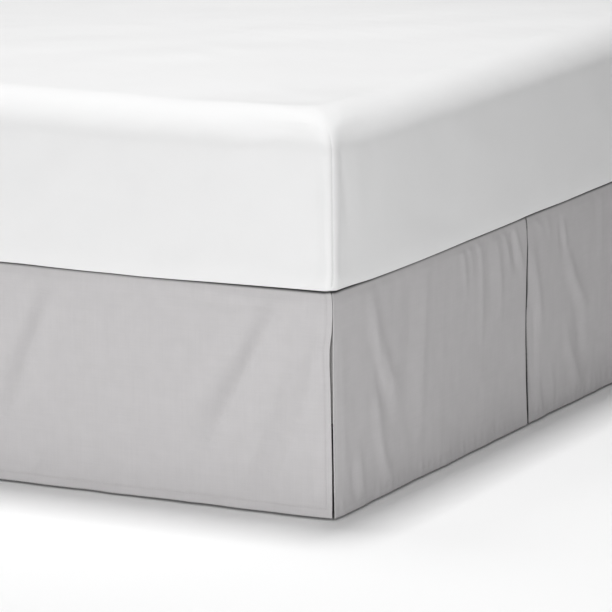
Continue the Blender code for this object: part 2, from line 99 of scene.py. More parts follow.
# Hems: the turned layer behind and its row of stitches.
HEM_DEPTH = 0.015
SIDE_HEM = 0.010
HEM_FADE = 0.0015
HEM_LAYER = 0.8  # what the turned layer adds, as a share of the cloth
STITCH_GROOVE = 0.00022
STITCH_GROOVE_WIDTH = 0.0020
SIDE_GROOVE = 0.5  # a share of the lower hem's groove
HEM_WAVE = 0.0009
HEM_WAVE_REACH = 0.050
HEM_WAVES = ((9.7, 0.0, 0.6), (23.0, 1.1, 0.4))  # radians a metre, phase and share
ROUNDED_EDGE = 0.0012
ROUNDED_SHARE = 0.92

# Spacing of the mesh.
FOOT_PITCH = 0.0052
SIDE_PITCH = 0.0064
EDGE_PITCH = 0.0020
EDGE_MARGIN = 0.030
HEM_ROW_PITCH = 0.0016
HEM_ROWS_TOP = 0.026
DROP_ROW_PITCH = 0.0055
ABOVE_PLEAT_ROWS = 4
EDGE_STEPS = (0.0, 0.0005, 0.0012, 0.0024)
TURN_STEPS = 6
FLANGE_STEPS = 3

# ---- folds
# One row for each soft fold: where its crest starts, bends and ends, as (s, z), how high it stands out (a
# trough is negative) and its half-width. s is measured from the foot corner, or the left one at the foot.
FOLD_SAMPLES = 18
FOLD_END_LOSS = 0.5  # how much lower a crest is at its ends
FOLD_CREST = 0.32  # how round a crest is, as a share of its half-width

FOOT_FOLDS = (
    ("corner ridge", (0.14, 0.352), (0.15, 0.28), (0.232, 0.178), 0.0046, 0.038),
    ("corner crease", (0.152, 0.3), (0.162, 0.235), (0.196, 0.196), 0.0015, 0.016),
    ("trough under it", (0.168, 0.23), (0.188, 0.17), (0.214, 0.13), -0.0037, 0.034),
    ("lower ridge", (0.16, 0.165), (0.168, 0.085), (0.21, 0.026), 0.0041, 0.029),
    ("lower crease", (0.162, 0.13), (0.17, 0.08), (0.19, 0.05), 0.001, 0.012),
    ("hem ridge", (0.093, 0.098), (0.097, 0.065), (0.103, 0.018), 0.0027, 0.025),
    ("hem trough", (0.066, 0.08), (0.07, 0.05), (0.076, 0.018), -0.0019, 0.022),
    ("edge ridge", (0.028, 0.3), (0.034, 0.2), (0.036, 0.08), 0.0013, 0.025),
    ("faint ridge", (0.352, 0.36), (0.336, 0.24), (0.318, 0.07), 0.0024, 0.034),
    ("faint trough", (0.286, 0.35), (0.29, 0.26), (0.268, 0.14), -0.0021, 0.04),
    ("gather a", (0.49, 0.372), (0.5, 0.345), (0.508, 0.29), 0.0025, 0.019),
    ("gather b", (0.521, 0.372), (0.53, 0.355), (0.535, 0.325), 0.0019, 0.011),
    ("pinch b", (0.543, 0.372), (0.553, 0.36), (0.56, 0.325), -0.0024, 0.011),
    ("gather c", (0.56, 0.366), (0.574, 0.32), (0.571, 0.2), 0.0027, 0.022),
    ("pinch c", (0.596, 0.366), (0.606, 0.31), (0.61, 0.24), -0.0019, 0.025),
    ("gather d", (0.63, 0.37), (0.646, 0.32), (0.65, 0.215), 0.0028, 0.025),
    ("gather e", (0.661, 0.374), (0.678, 0.352), (0.686, 0.305), 0.0022, 0.013),
    ("pinch e", (0.694, 0.375), (0.701, 0.352), (0.712, 0.3), -0.0034, 0.013),
    ("gather f", (0.708, 0.373), (0.722, 0.345), (0.737, 0.296), 0.0027, 0.015),
    ("pleat ridge", (0.78, 0.322), (0.8, 0.262), (0.822, 0.18), 0.0038, 0.029),
    ("pleat dip", (0.784, 0.224), (0.786, 0.15), (0.79, 0.05), -0.005, 0.036),
    ("far gather a", (0.797, 0.37), (0.812, 0.362), (0.824, 0.352), 0.0016, 0.011),
    ("far gather b", (0.842, 0.37), (0.852, 0.358), (0.86, 0.335), 0.0015, 0.016),
    ("far pinch", (0.905, 0.35), (0.908, 0.325), (0.914, 0.3), -0.0018, 0.018),
    ("far top ridge", (0.918, 0.345), (0.926, 0.326), (0.93, 0.3), 0.0021, 0.016),
    ("far ridge", (0.938, 0.285), (0.962, 0.235), (1.016, 0.18), 0.0041, 0.031),
    ("far trough", (0.98, 0.172), (0.996, 0.12), (1.000, 0.085), -0.0038, 0.034),
    ("far lower ridge", (0.938, 0.135), (0.95, 0.085), (0.996, 0.034), 0.0037, 0.029),
    ("far small ridge", (0.866, 0.084), (0.874, 0.06), (0.882, 0.036), 0.0019, 0.02),
    ("far hem trough", (0.832, 0.066), (0.842, 0.036), (0.858, 0.012), -0.003, 0.027),
    ("right gather", (1.085, 0.366), (1.09, 0.32), (1.088, 0.25), 0.0022, 0.027),
    ("right ridge", (1.235, 0.345), (1.215, 0.24), (1.16, 0.11), 0.0037, 0.04),
    ("right trough", (1.285, 0.3), (1.262, 0.21), (1.222, 0.09), -0.0031, 0.04),
    ("right corner ridge", (1.436, 0.345), (1.42, 0.23), (1.372, 0.06), 0.0038, 0.04),
)

LEFT_FOLDS = (
    ("corner ridge", (0.016, 0.335), (0.046, 0.19), (0.108, 0.06), 0.0043, 0.034),
    ("main ridge", (0.108, 0.346), (0.158, 0.246), (0.234, 0.108), 0.007, 0.038),
    ("main trough", (0.16, 0.31), (0.21, 0.226), (0.272, 0.15), -0.0046, 0.044),
    ("lower trough", (0.088, 0.262), (0.132, 0.135), (0.176, 0.035), -0.0046, 0.034),
    ("slack under top", (0.128, 0.35), (0.2, 0.344), (0.282, 0.356), -0.0018, 0.022),
    ("second ridge", (0.53, 0.345), (0.566, 0.248), (0.618, 0.122), 0.0056, 0.038),
    ("second trough", (0.574, 0.322), (0.602, 0.262), (0.636, 0.186), -0.0042, 0.038),
    ("hem dimple", (0.556, 0.062), (0.568, 0.045), (0.58, 0.022), -0.0032, 0.03),
    ("gather 1", (0.842, 0.366), (0.846, 0.32), (0.85, 0.23), 0.0038, 0.04),
    ("gather 2", (0.93, 0.366), (0.93, 0.3), (0.926, 0.19), 0.0043, 0.04),
    ("pleat ridge", (1.03, 0.335), (1.062, 0.24), (1.08, 0.13), 0.0046, 0.044),
    ("long ridge", (1.24, 0.35), (1.286, 0.23), (1.352, 0.09), 0.0061, 0.05),
    ("long trough", (1.31, 0.33), (1.352, 0.23), (1.42, 0.12), -0.0046, 0.05),
    ("head ridge", (1.62, 0.345), (1.65, 0.22), (1.706, 0.07), 0.0052, 0.052),
    ("head trough", (1.86, 0.34), (1.842, 0.22), (1.8, 0.09), -0.0043, 0.05),
)

RIGHT_FOLDS = (
    ("corner ridge", (0.052, 0.34), (0.084, 0.22), (0.14, 0.07), 0.0049, 0.036),
    ("main ridge", (0.178, 0.35), (0.214, 0.24), (0.286, 0.1), 0.0064, 0.036),
    ("main trough", (0.232, 0.32), (0.27, 0.23), (0.326, 0.14), -0.0046, 0.038),
    ("slack under top", (0.3, 0.356), (0.372, 0.342), (0.44, 0.354), -0.0032, 0.024),
    ("second ridge", (0.476, 0.345), (0.5, 0.26), (0.548, 0.13), 0.0052, 0.036),
    ("second trough", (0.604, 0.22), (0.628, 0.14), (0.664, 0.06), -0.0041, 0.04),
    ("gather 1", (0.8, 0.366), (0.802, 0.31), (0.808, 0.21), 0.0041, 0.04),
    ("gather 2", (0.886, 0.366), (0.888, 0.29), (0.884, 0.17), 0.0043, 0.04),
    ("gather 3", (0.96, 0.366), (0.958, 0.32), (0.956, 0.25), 0.0035, 0.036),
    ("pleat ridge", (1.032, 0.33), (1.066, 0.23), (1.086, 0.15), 0.0043, 0.044),
    ("long ridge", (1.33, 0.35), (1.36, 0.24), (1.42, 0.1), 0.0058, 0.05),
    ("long trough", (1.2, 0.32), (1.232, 0.22), (1.29, 0.11), -0.0043, 0.05),
    ("head ridge", (1.742, 0.345), (1.724, 0.22), (1.68, 0.08), 0.0055, 0.052),
    ("head trough", (1.882, 0.3), (1.872, 0.2), (1.848, 0.09), -0.0041, 0.046),
)

# The split corner, by height: how far the side drop stops short of the foot drop, how far the foot drop
# stops short of the side drop's face, and how far each turns in at its edge.
CORNER = (
    ("z", "side_short", "foot_short", "side_turn_in", "foot_turn_in"),
    (0.000, 0.0040, 0.0055, 0.0046, 0.0012),
    (0.035, 0.0036, 0.0050, 0.0046, 0.0014),
    (0.085, 0.0032, 0.0026, 0.0038, 0.0014),
    (0.160, 0.0034, 0.0012, 0.0018, 0.0014),
    (0.225, 0.0042, 0.0008, 0.0012, 0.0014),
    (0.262, 0.0056, 0.0006, 0.0010, 0.0014),
    (0.292, 0.0052, 0.0004, 0.0006, 0.0012),
    (0.318, 0.0018, 0.0000, 0.0002, 0.0006),
    (0.345, 0.0008, 0.0000, 0.0000, 0.0000),
    (0.390, 0.0007, 0.0000, 0.0000, 0.0000),
)
SIDE_TURN_WIDTH = 0.040
FOOT_TURN_WIDTH = 0.012

# The pleat's mouth, by height: how wide the slit is, how far its middle strays, and how far the near edge
# stands out and the far one sinks in (where that is negative, it stands out too).
MOUTH = (
    ("z", "slit", "stray", "near_out", "far_in"),
    (0.000, 0.0050, 0.0060, 0.0006, -0.0004),
    (0.045, 0.0044, 0.0030, 0.0006, -0.0020),
    (0.100, 0.0046, -0.0020, 0.0005, -0.0030),
    (0.158, 0.0050, -0.0045, 0.0005, -0.0028),
    (0.216, 0.0052, -0.0040, 0.0005, -0.0016),
    (0.274, 0.0048, -0.0030, 0.0008, 0.0002),
    (0.315, 0.0026, 0.0000, 0.0008, 0.0016),
    (0.334, 0.0008, 0.0015, 0.0006, 0.0010),
    (0.350, 0.0004, 0.0000, 0.0003, 0.0004),
    (0.390, 0.0004, 0.0000, 0.0000, 0.0000),
)
MOUTH_WIDTH = 0.032


# ---- small tools
SMALLEST = 1e-12  # the least length that a vector is divided by
RIPPLE_WAVES = 14


def by_height(table, name, z):
    """A value that a table gives by height, read off at z."""
    names, *rows = table
    columns = dict(zip(names, zip(*rows)))
    return np.interp(z, columns["z"], columns[name])


def ease(x):
    """0 below 0, 1 above 1, and a smooth step between."""
    x = np.clip(x, 0.0, 1.0)
    return x * x * (3 - 2 * x)


def run_length(a, b):
    """How far a line through the points (a, b) has run at each of them."""
    return np.cumsum(np.hypot(np.diff(a, prepend=a[0]), np.diff(b, prepend=b[0])))


def ripple(kind, a, b, seed, share=1.0):
    """Unevenness over (a, b): waves in seeded directions, as high as its kind and the share say."""
    rng = np.random.default_rng(seed)
    height, shortest, longest = kind
    total = np.zeros(np.broadcast(a, b).shape)
    for _ in range(RIPPLE_WAVES):
        length = shortest * (longest / shortest) ** rng.random()
        heading = rng.random() * math.pi
        phase = rng.random() * 2 * math.pi
        along = a * math.cos(heading) + b * math.sin(heading)
        total += np.sin(2 * math.pi * along / length + phase)
    return height * share * (total / math.sqrt(RIPPLE_WAVES))


def crest_height(away):
    """A fold's height across it: 1 on its round crest, with soft flanks down to 0 at its half-width."""
    drop_off = np.hypot(away, FOLD_CREST) - FOLD_CREST
    full = math.hypot(1.0, FOLD_CREST) - FOLD_CREST
    return (1 - drop_off / full) ** 2


def fold_relief(folds, s, z):
    """How far the folds push the cloth out at (s, z)."""
    relief = np.zeros(np.broadcast(s, z).shape)
    for _, start, bend, end, height, half_width in folds:
        nearest = np.full(relief.shape, np.inf)
        along = np.zeros(relief.shape)
        for t in np.linspace(0.0, 1.0, FOLD_SAMPLES):
            weights = ((1 - t) ** 2, 2 * t * (1 - t), t**2)
            crest_s = sum(w * p[0] for w, p in zip(weights, (start, bend, end)))
            crest_z = sum(w * p[1] for w, p in zip(weights, (start, bend, end)))
            distance = np.hypot(s - crest_s, z - crest_z)
            along = np.where(distance < nearest, t, along)
            nearest = np.minimum(nearest, distance)
        across = crest_height(np.minimum(nearest / half_width, 1.0))
        relief += height * across * (1 - FOLD_END_LOSS * (2 * along - 1) ** 4)
    return relief


# ---- mesh pieces
def put(name, data):
    """A thing of the scene, made from its data."""
    thing = bpy.data.objects.new(name, data)
    bpy.context.scene.collection.objects.link(thing)
    return thing


def new_piece(name, mesh, material):
    """A piece of the scene that rides with the whole, with its finish's slot."""
    mesh.validate()
    mesh.shade_smooth()
    mesh.materials.append(material)
    thing = put(name, mesh)
    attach(thing, "root")
    return thing


def weave_map(mesh, coordinates):
    """A map named "cloth", in metres along the cloth, for the weave."""
    layer = mesh.uv_layers.new(name="cloth")
    loops = np.zeros(len(mesh.loops), dtype=np.int32)
    mesh.loops.foreach_get("vertex_index", loops)
    layer.uv.foreach_set("vector", coordinates[loops].astype(np.float32).ravel())


def unit(vectors):
    """Vectors brought to length 1."""
    return vectors / np.maximum(np.linalg.norm(vectors, axis=-1, keepdims=True), SMALLEST)


def sheet_normals(points, blocks):
    """Unit normals of a grid of points, each row measured only along the block of columns it crosses."""
    normals = np.zeros_like(points)
    for first, last, rows in blocks:
        block = points[first : last + 1, :rows]
        cross = np.cross(np.gradient(block, axis=0), np.gradient(block, axis=1))
        normals[first : last + 1, :rows] += unit(cross)
    return unit(normals)


def closed_sheet(name, points, outward, inward, blocks, cloth_uv, material):
    """A closed sheet about a grid of points, from `inward` behind it to `outward` in front.

    points is (columns, rows, 3). Each block is (first column, last column, rows) that the cloth fills.
    """
    normals = sheet_normals(points, blocks)
    outer = points + normals * outward[..., None]
    inner = points - normals * inward[..., None]
    columns, rows = points.shape[:2]
    filled = np.zeros((columns - 1, rows - 1), bool)
    for first, last, block_rows in blocks:
        filled[first:last, : block_rows - 1] = True

    i, j = np.nonzero(filled)
    here, beside = i * rows + j, (i + 1) * rows + j
    corner = np.stack([here, beside, beside + 1, here + 1], axis=1)
    front = corner * 2
    back = corner[:, ::-1] * 2 + 1
    starts = corner.ravel()
    stops = np.roll(corner, -1, axis=1).ravel()
    edges = set(zip(starts.tolist(), stops.tolist()))
    rim = [
        (stop * 2, start * 2, start * 2 + 1, stop * 2 + 1)
        for start, stop in sorted(edges)
        if (stop, start) not in edges
    ]
    faces = np.concatenate([front, back, np.array(rim)])
    used, numbered = np.unique(faces, return_inverse=True)
    vertices = np.stack([outer, inner], axis=2).reshape(-1, 3)[used]
    mesh = bpy.data.meshes.new(name)
    mesh.from_pydata(vertices.tolist(), [], numbered.reshape(faces.shape).tolist())
    weave_map(mesh, np.repeat(cloth_uv.reshape(-1, 2), 2, axis=0)[used])
    return new_piece(name, mesh, material)


# ---- a drop
def lean(z):
    """The stand-off of a drop without folds: it leans out just below the turn, then hangs straight."""
    x = np.clip((TURN_Z - z) / LEAN_DEPTH, 0.0, 1.0)
    return TOP_STANDOFF + (FACE_STANDOFF - TOP_STANDOFF) * (1 - (1 - x) ** 2)


def graded(start, stop, pitch):
    """Places from start to stop, closer together near both ends."""
    low, high = start + EDGE_MARGIN, stop - EDGE_MARGIN
    fine = round(EDGE_MARGIN / EDGE_PITCH)
    before = np.linspace(start, low, fine + 1)[:-1]
    between = np.linspace(low, high, max(2, round((high - low) / pitch)) + 1)
    after = np.linspace(high, stop, fine + 1)[1:]
    return [*before, *between, *after]


def with_edge(places, at_start):
    """The places, with the first few replaced by the close steps of a rounded edge."""
    if not at_start:
        return [-x for x in with_edge([-x for x in places[::-1]], True)[::-1]]
    edge = [places[0] + step for step in EDGE_STEPS]
    return edge + [x for x in places if x > edge[-1] + EDGE_PITCH / 2]


def heights():
    """Row heights of the hanging part, from the hem to the turn, and how many of them cross the pleat."""
    hem = list(np.arange(HEM_Z, HEM_Z + HEM_ROWS_TOP, HEM_ROW_PITCH))
    pleat_z = TURN_Z - PLEAT_TOP
    steps = round((pleat_z - hem[-1]) / DROP_ROW_PITCH)
    across = with_edge(hem, True) + list(np.linspace(hem[-1], pleat_z, steps + 1))[1:]
    above = list(np.linspace(pleat_z, TURN_Z, ABOVE_PLEAT_ROWS + 1))[1:]
    return np.array(across + above), len(across)


def outer_relief(s, z, drop, side):
    """What folds, waves, the pleat's mouth and the turned-in edges add to the outer layer's stand-off."""
    length, seed = drop["length"], drop["seed"]
    from_pleat = np.abs(s - length / 2)
    relief = fold_relief(drop["folds"], s, z)
    relief += ripple(DRIFT, s, z, seed)
    relief += ripple(RUMPLE, s, z * RUMPLE_RISE, seed + 1)
    relief += ripple(FLARE, s, 0.0 * z, seed + 2, 1 - ease((z - HEM_Z) / FLARE_REACH))
    reaches = list(zip(drop["ends"], (s, length - s)))
    for end, distance in reaches:
        relief *= ease(distance / (HEAD_CALM if end == "free" else SIDE_TURN_WIDTH))
    for end, distance in reaches:
        if end == "side":
            relief -= by_height(CORNER, "foot_turn_in", z) * (1 - ease(distance / FOOT_TURN_WIDTH))
        elif end == "foot":
            relief -= by_height(CORNER, "side_turn_in", z) * (1 - ease(distance / SIDE_TURN_WIDTH))
    nearness = 1 - ease(from_pleat / MOUTH_WIDTH)
    if side == "near":
        relief += nearness * by_height(MOUTH, "near_out", z)
    else:
        relief -= nearness * by_height(MOUTH, "far_in", z)
    window = np.exp(-(((z - HEM_Z - HEM_DEPTH) / PUCKER_REACH) ** 2))
    relief += ripple(PUCKER, s, z * PUCKER_RISE, seed + 3, window)
    over_pleat = 1 - ease((from_pleat - PLEAT_DEPTH) / (OVER_PLEAT - PLEAT_DEPTH))
    clear = (FOLD_STANDOFF_MIN - lean(z)) * over_pleat + relief * (1 - over_pleat)
    relief = np.where(over_pleat > 0, np.maximum(relief, clear), relief)
    return relief * ease((TURN_Z - z) / CALM_TOP)


def squeeze(s, drop, z, d):
    """Moves the columns near an end so that the strip stops at the next drop's face at that height."""
    inward = FACE_STANDOFF - d
    limits = []
    for end in drop["ends"]:
        if end == "side":
            short = np.maximum(by_height(CORNER, "foot_short", z), by_height(CORNER, "side_turn_in", z))
            limits.append(BASE_INSET - FACE_STANDOFF - CLOTH / 2 + inward + short)
        elif end == "foot":
            short, turned = by_height(CORNER, "side_short", z), by_height(CORNER, "foot_turn_in", z)
            limits.append(BASE_INSET - FACE_STANDOFF + CLOTH / 2 + inward + short + turned)
        else:
            limits.append(BASE_INSET + 0 * z)
    s = s + limits[0] * (1 - ease(s / END_REACH))
    return s - limits[1] * (1 - ease((drop["length"] - s) / END_REACH))


def hem_wave(s, z):
    """A slight rise and fall of the hem, gone a hand's breadth above it."""
    wave = sum(np.sin(s * turns + phase) * share for turns, phase, share in HEM_WAVES)
    return HEM_WAVE * wave * (1 - ease((z - HEM_Z) / HEM_WAVE_REACH))


def arc(s_centre, d_top, d_low, bulge, turn):
    """A folded edge, from d_top round to d_low, as (s, d) rows."""
    middle, half = (d_top + d_low) / 2, (d_top - d_low) / 2
    angles = np.linspace(math.pi / 2, -math.pi / 2, FOLD_ARC_STEPS + 1)[1:-1]
    return [(s_centre + turn * bulge * math.cos(a), middle + half * math.sin(a)) for a in angles]


def pleat_section(pleat_s, edge, stray, near_d, far_d):
    """The back-and-forth section behind the slit, as (s, d) pairs of arrays by row."""
    steps = round(PLEAT_DEPTH / LAYER_PITCH)
    flat = 0 * edge
    back = RETURN_STANDOFF + flat
    shares = np.linspace(0.0, 1.0, steps + 1)
    deep = arc(PLEAT_DEPTH, RETURN_STANDOFF, UNDERLAY_STANDOFF, FOLD_BULGE, 1)
    halves = []
    for sign, outer_d in ((-1, near_d), (1, far_d)):
        first = edge + sign * stray + FOLD_BULGE
        mouth = arc(pleat_s + sign * first, outer_d, back, FOLD_BULGE, -sign)
        folded = [(pleat_s + sign * first + sign * (PLEAT_DEPTH - first) * x, back) for x in shares]
        halves.append(mouth + folded + [(pleat_s + sign * x + flat, d + flat) for x, d in deep])
    across = np.linspace(-PLEAT_DEPTH, PLEAT_DEPTH, 2 * steps + 1)
    underlay = [(pleat_s + x + flat, UNDERLAY_STANDOFF + flat) for x in across]
    return halves[0] + underlay + halves[1][::-1]


def turned_rows():
    """The drop's rows above the hanging part, round the turn and over the base, as (d, z)."""
    angles = [step / TURN_STEPS * math.pi / 2 for step in range(1, TURN_STEPS + 1)]
    centre = TOP_STANDOFF - TURN_RADIUS
    rows = [(centre + TURN_RADIUS * math.cos(a), TURN_Z + TURN_RADIUS * math.sin(a)) for a in angles]
    return rows + [(centre - FLANGE * step / FLANGE_STEPS, FLANGE_Z) for step in range(1, FLANGE_STEPS + 1)]


def drop_grid(drop):
    """The grid of a drop's points, with what its thickness and its weave need."""
    length, pleat_s = drop["length"], drop["length"] / 2
    z, pleat_rows = heights()
    level = z[None, :]
    edge = (by_height(MOUTH, "slit", z) + CLOTH) / 2
    stray = by_height(MOUTH, "stray", z)
    reach = {"near": edge - stray + FOLD_BULGE, "far": edge + stray + FOLD_BULGE}
    widest = max(reach["near"].max(), reach["far"].max())
    left = np.array(with_edge(graded(0.0, pleat_s - widest, drop["pitch"]), True))
    right = np.array(with_edge(graded(pleat_s + widest, length, drop["pitch"]), False))

    outer, drawn = [], []
    for places, side, sign in ((left, "near", 1), (right, "far", -1)):
        s = places[:, None]
        mouth_share = 1 - ease((np.abs(s - pleat_s) - widest) / MOUTH_WIDTH)
        pull = sign * (widest - reach[side])[None, :] * mouth_share
        drawn.append(places + pull[:, -1])
        out = lean(level) + outer_relief(s, level, drop, side)
        outer.append((squeeze(s, drop, level, lean(level)) + pull, out))
    middle = pleat_section(pleat_s, edge, stray, outer[0][1][-1], outer[1][1][0])
    folded = [pleat_s] * len(middle)
    s, d = (np.concatenate([outer[0][k], [m[k] for m in middle], outer[1][k]]) for k in (0, 1))
    height = level + hem_wave(s, level)

    strip = np.concatenate([left, folded, right])
    strip_top = np.concatenate([drawn[0], folded, drawn[1]])
    turned = turned_rows()
    turned_s = [squeeze(strip_top, drop, row_z, row_d) for row_d, row_z in turned]
    turned_d, turned_z = (np.tile(values, (len(strip), 1)) for values in zip(*turned))
    s = np.concatenate([s, np.array(turned_s).T], axis=1)
    d = np.concatenate([d, turned_d], axis=1)
    height = np.concatenate([height, turned_z], axis=1)

    rows = s.shape[1]
    blocks = [
        (0, len(strip) - 1, pleat_rows),
        (0, len(left) - 1, rows),
        (len(strip) - len(right), len(strip) - 1, rows),
    ]
    return s, d, height, strip, z, blocks


def stitch_groove(off):
    """How deep the thread draws the cloth in, at that distance from its row of stitches."""
    return np.exp(-((off / STITCH_GROOVE_WIDTH) ** 2)) * STITCH_GROOVE


def thickness(drop, strip, z, rows):
    """How far the cloth reaches in front of its middle and behind it: hems, grooves and rounded edges."""
    level = np.concatenate([z, np.full(rows - len(z), TURN_Z)])[None, :]
    place = strip[:, None]
    hem = 1 - ease((level - HEM_Z - HEM_DEPTH) / HEM_FADE)
    groove = stitch_groove(level - HEM_Z - HEM_DEPTH)
    for distance in (place, drop["length"] - place):
        hem = np.maximum(hem, 1 - ease((distance - SIDE_HEM) / HEM_FADE))
        groove = np.maximum(groove, stitch_groove(distance - SIDE_HEM) * SIDE_GROOVE)
    front = CLOTH / 2 - groove
    behind = CLOTH / 2 + HEM_LAYER * CLOTH * hem
    edge = np.minimum(np.minimum(place, drop["length"] - place), level - HEM_Z)
    roundness = np.sqrt(1 - (1 - np.clip(edge / ROUNDED_EDGE, 0.0, 1.0)) ** 2 * ROUNDED_SHARE)
    middle, half = (front - behind) / 2, (front + behind) / 2
    return middle + half * roundness, half * roundness - middle


def make_drop(drop, material):
    """One drop: a closed sheet with its pleat, folds, hems and turned top edge.

    Its map runs along the strip from the slit's middle and up from the hem.
    """
    s, d, height, strip, z, blocks = drop_grid(drop)
    points = np.stack(drop["place"](s, d, height), axis=-1)
    front, behind = thickness(drop, strip, z, s.shape[1])
    middle_row = len(z) // 2
    along = run_length(s[:, middle_row], d[:, middle_row])
    folded = np.flatnonzero(strip == strip[len(strip) // 2])
    along -= (along[folded[0] - 1] + along[folded[-1] + 1]) / 2
    up = run_length(height[0], d[0])
    cloth_uv = np.stack(np.broadcast_arrays(along[:, None], up[None, :]), axis=-1)
    piece = closed_sheet(drop["name"], points, front, behind, blocks, cloth_uv, material)
    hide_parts(drop["node"])


# ---- the mattress
MATTRESS_LOW, MATTRESS_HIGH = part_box("mattress")
MATTRESS_HEIGHT = MATTRESS_HIGH[2] - MATTRESS_LOW[2]
TUCK = 0.004
LOWER_EDGE = 0.006
UPPER_EDGE = 0.070
BULGE = 0.0015
FULLEST = 0.6
SWELL = 0.0045  # how far the side stands out beyond its lower edge
SWELL_REACH = 0.036
SWELL_POWER = 2.2
CROWN = 0.012
CROWN_STEEPNESS = 1.4
LOWER_CORNER = 0.018
UPPER_CORNER = 0.034
CORNER_GROWTH = 0.8
UNDERSIDE_GROWTH = 0.25
CORNER_LIMIT = 0.9
TOP_REACH = 0.70  # how far in the last ring of the top lies
CORNER_CALM = 0.20  # how far from a corner the sides reach their full bulge
CORNER_DRAW = 0.0045
DRAW_START = 0.03
CORNER_PEAK = 0.006  # how much squarer the upper edge is at a corner
CORNER_LIFT = 0.0012  # how much a corner's lower edge is pulled up
LIFT_START = 0.006
LIFT_REACH = 0.06
EDGE_ROLL = 0.0012  # radius of the sheet's edge where it hangs over the skirt's top
EDGE_ROLL_INSET = 0.0012
EDGE_ROLL_DROP = 0.0008  # how far below the base's top the roll's middle is
SHOULDER_TURNS = (90.0, 68.0, 46.0)  # degrees, where the underside follows the skirt's turn

# Its rings, from the underside to the top, and how their columns crowd at the corners.
UNDERSIDE_INSETS = (0.30, 0.10, 0.03)
LOWER_EDGE_ROWS = 10
SIDE_ROWS = 24
UPPER_EDGE_ROWS = 14
TOP_ROWS = 32
UNDERSIDE_END = len(UNDERSIDE_INSETS) - 1
EDGE_END = UNDERSIDE_END + LOWER_EDGE_ROWS
HANG_ROW = 5  # the ring whose places say how far the edge hangs
SIDE_ROW_GROWTH = 1.6  # a side's rows lie closer together near its lower edge
CORNER_STEPS = 16
CORNER_CROWD = 1.4
SIDE_CROWD = 0.86
SHORT_SIDE_PITCH = 0.013
LONG_SIDE_PITCH = 0.015

# How far the lower edge hangs, as a share, by distance along a short side and a long side.
SHORT_SIDE_HANG = (
    (0.0, 0.0), (0.05, 0.15), (0.1, 0.5), (0.14, 0.74), (0.23, 0.9), (0.32, 0.97), (0.42, 0.94),
    (0.51, 0.83), (0.61, 0.82), (0.71, 0.78), (0.76, 0.6), (0.82, 0.6), (0.92, 0.74), (1.03, 0.6),
    (1.14, 0.56), (1.26, 0.7), (1.38, 0.62), (1.46, 0.25), (1.524, 0.0),
)
LONG_SIDE_HANG = (
    (0.0, 0.0), (0.06, 0.22), (0.11, 0.34), (0.15, 0.45), (0.22, 0.63), (0.29, 0.85), (0.36, 1.0),
    (0.42, 0.93), (0.47, 0.96), (0.54, 0.88), (0.59, 0.74), (0.64, 0.78), (0.8, 0.92), (1.0, 0.72),
    (1.2, 0.9), (1.45, 0.76), (1.7, 0.9), (1.86, 0.6), (1.96, 0.25), (2.032, 0.0),
)
SEAM_DEPTH = 0.0012
SEAM_WIDTH = 0.0016
SEAM_START = 0.006
SEAM_TOP = 0.296  # how far up round the edge a corner seam goes
SEAM_FADE = 0.02

# The sheet's slow unevenness, and how far it and the creases keep from the corners and the lower edge.
SHEET_DRIFT = (0.0007, 0.18, 0.50)
SHEET_DRIFT_SLANT = 0.3
SHEET_RUMPLE = (0.00022, 0.05, 0.14)
SHEET_SEED = 5
CORNER_REST = 0.05
CREASE_REST = 0.02
EDGE_CALM = 0.045
SIDE_ZONE = 0.16  # how far in from a side its creases reach
SIDE_ZONE_FADE = 0.08

# Soft creases of the fitted sheet, as the drops' folds are given: (s along the side, v up round it).
LONG_SIDE_CREASES = (
    ("seam tuck", (0.012, 0.33), (0.016, 0.31), (0.018, 0.28), 0.0016, 0.012),
    ("corner slack", (0.06, 0.3), (0.1, 0.27), (0.19, 0.255), 0.0014, 0.03),
    ("mid drift", (0.42, 0.25), (0.52, 0.2), (0.6, 0.12), 0.0012, 0.06),
    ("low drift", (0.2, 0.12), (0.3, 0.07), (0.42, 0.05), -0.001, 0.045),
    ("far drift", (0.98, 0.28), (1.1, 0.19), (1.18, 0.08), 0.0014, 0.07),
    ("head drift", (1.6, 0.26), (1.66, 0.18), (1.74, 0.1), 0.0013, 0.07),
)
SHORT_SIDE_CREASES = (
    ("seam tuck", (0.01, 0.332), (0.014, 0.312), (0.022, 0.285), 0.0018, 0.011),
    ("corner trough", (0.014, 0.3), (0.04, 0.22), (0.056, 0.13), -0.0022, 0.024),
    ("corner ridge", (0.07, 0.3), (0.092, 0.22), (0.1, 0.12), 0.0014, 0.034),
    ("mid drift", (0.42, 0.27), (0.5, 0.2), (0.64, 0.16), 0.0016, 0.055),
    ("low drift", (0.3, 0.12), (0.42, 0.08), (0.56, 0.06), -0.0012, 0.045),
    ("far drift", (0.98, 0.25), (1.08, 0.17), (1.16, 0.09), 0.0014, 0.06),
)


def lower_edge(hanging):
    """The section of the mattress's lower edge, resting on the deck or hanging over the skirt's top."""
    turns = np.linspace(0.0, math.pi / 2, LOWER_EDGE_ROWS)
    if not hanging:
        insets = TUCK * (1 - np.sin(turns)) + BULGE
        return list(zip(insets, LOWER_EDGE * (1 - np.cos(turns))))
    centre = BASE_INSET + TURN_RADIUS - TOP_STANDOFF
    reach = MATTRESS_LOW[2] - TURN_Z
    shoulder = np.radians(SHOULDER_TURNS)
    rows = list(zip(centre - reach * np.cos(shoulder), reach * (np.sin(shoulder) - 1)))
    roll = np.linspace(math.pi, 2 * math.pi, LOWER_EDGE_ROWS - len(rows))
    middle = BASE_TOP - EDGE_ROLL_DROP - MATTRESS_LOW[2]
    return rows + list(zip(EDGE_ROLL_INSET - EDGE_ROLL * np.cos(roll), middle + EDGE_ROLL * np.sin(roll)))


